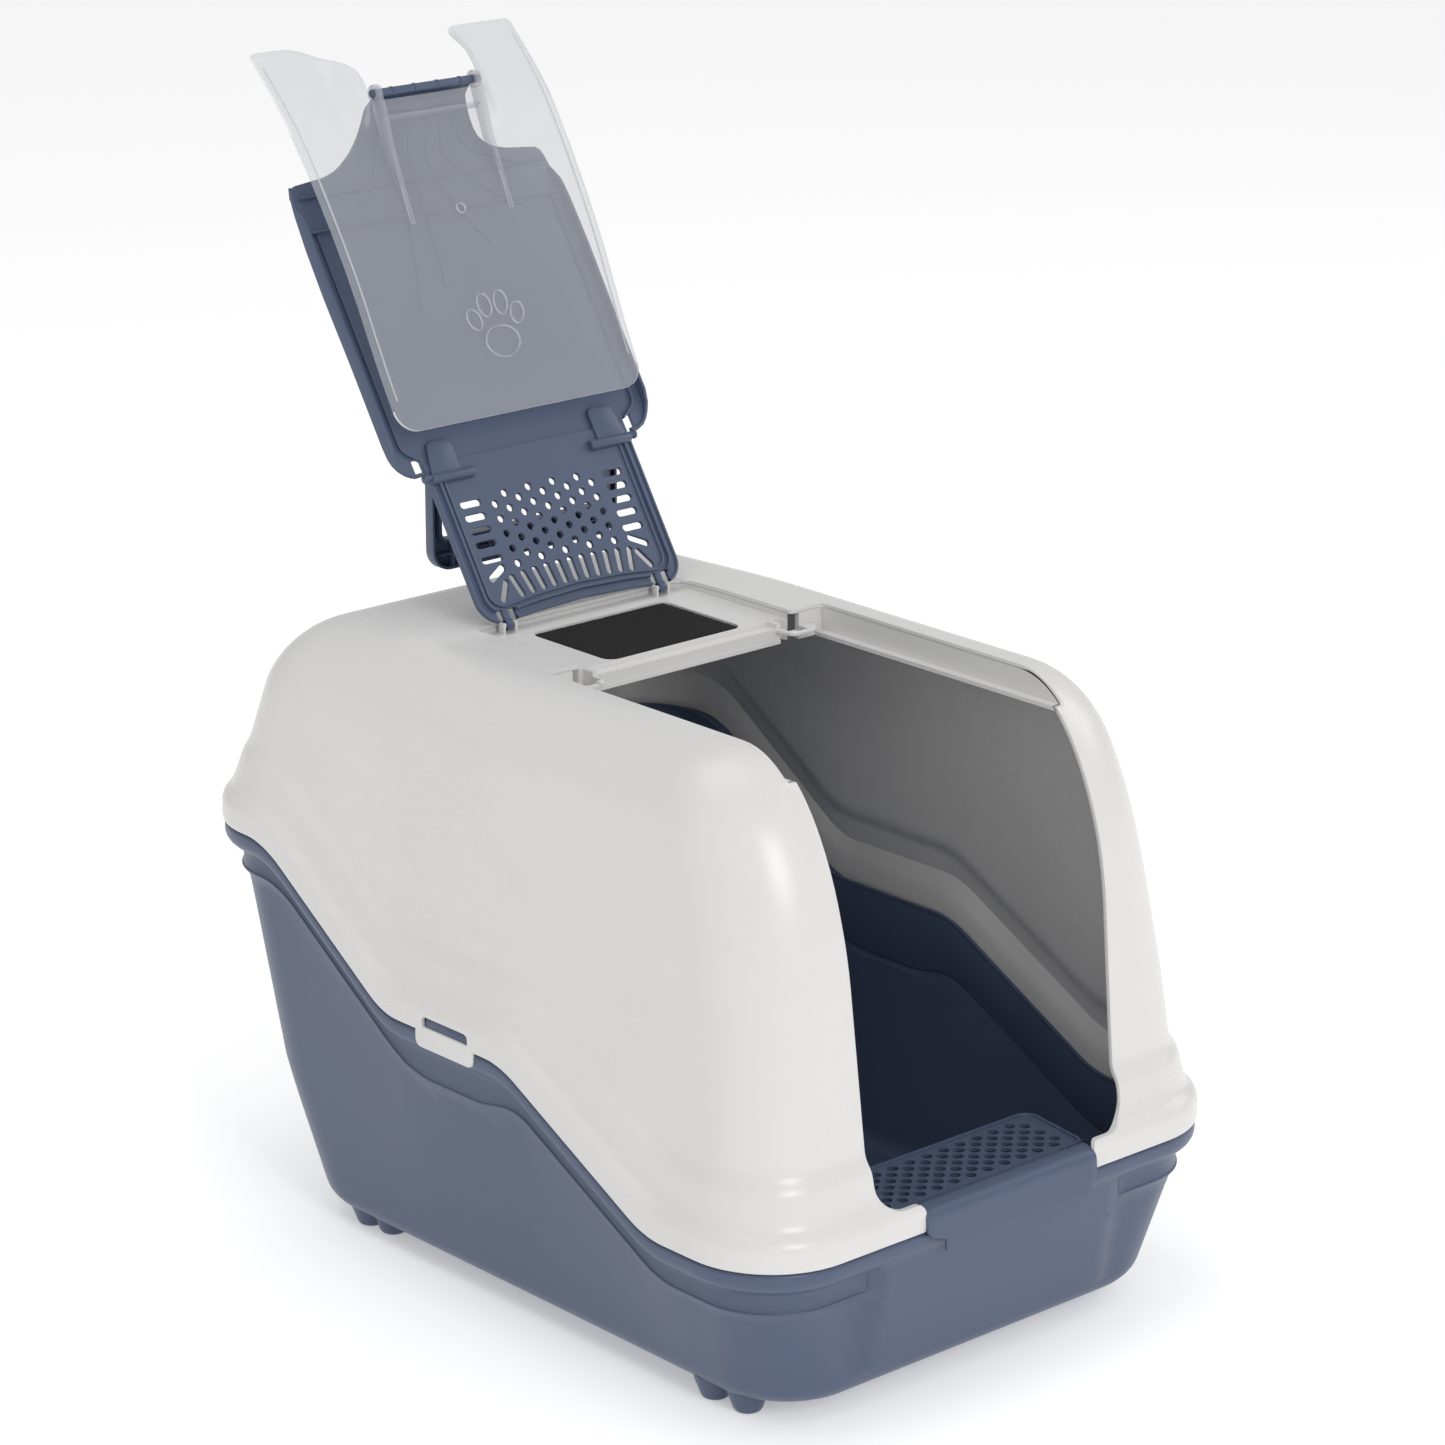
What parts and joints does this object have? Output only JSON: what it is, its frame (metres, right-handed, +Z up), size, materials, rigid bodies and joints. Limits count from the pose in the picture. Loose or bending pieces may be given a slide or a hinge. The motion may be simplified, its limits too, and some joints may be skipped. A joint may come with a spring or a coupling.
{
  "type": "hooded cat litter box",
  "caption": "Deep tray with a slanting rim, domed lift-off hood, swing-up lid with a clear flap, carry handle, filter pad and perforated entry step.",
  "frame": {"origin": "on the floor, under the middle of the rim's length and width", "axes": "+Z up; the entrance faces -Y; +X is to the right of someone looking at the entrance from behind the box"},
  "size_m": [0.39, 0.5757, 0.7184],
  "materials": {
    "blue_plastic": "satin moulded polypropylene, jeans blue",
    "grey_plastic": "satin moulded polypropylene, warm light grey",
    "filter_felt": "black activated-carbon felt",
    "clear_plastic": "clear, slightly milky moulded sheet"
  },
  "bodies": {
    "tray": {"tray": "blue_plastic", "entry_step": "blue_plastic"},
    "hood": {"hood": "grey_plastic", "filter_pad": "filter_felt"},
    "lid": {"lid": "blue_plastic"},
    "flap": {"flap": "clear_plastic"},
    "handle": {"carry_handle": "blue_plastic"}
  },
  "joints": [
    {"name": "hood_lift", "type": "slide", "parent": "tray", "child": "hood", "axis": [0, 0, 1], "range_m": [0, 0.2]},
    {"name": "lid_hinge", "type": "hinge", "parent": "hood", "child": "lid", "pos_m": [0, 0.11, 0.3895], "axis": [1, 0, 0], "range_deg": [0, 123]},
    {"name": "flap_swing", "type": "hinge", "parent": "lid", "child": "flap", "pos_m": [0, 0.26107, 0.6937], "axis": [1, 0, 0], "range_deg": [-150, 0]},
    {"name": "handle_pivot", "type": "hinge", "parent": "lid", "child": "handle", "pos_m": [0, 0.17054, 0.46799], "axis": [1, 0, 0], "range_deg": [-32, 145]}
  ]
}
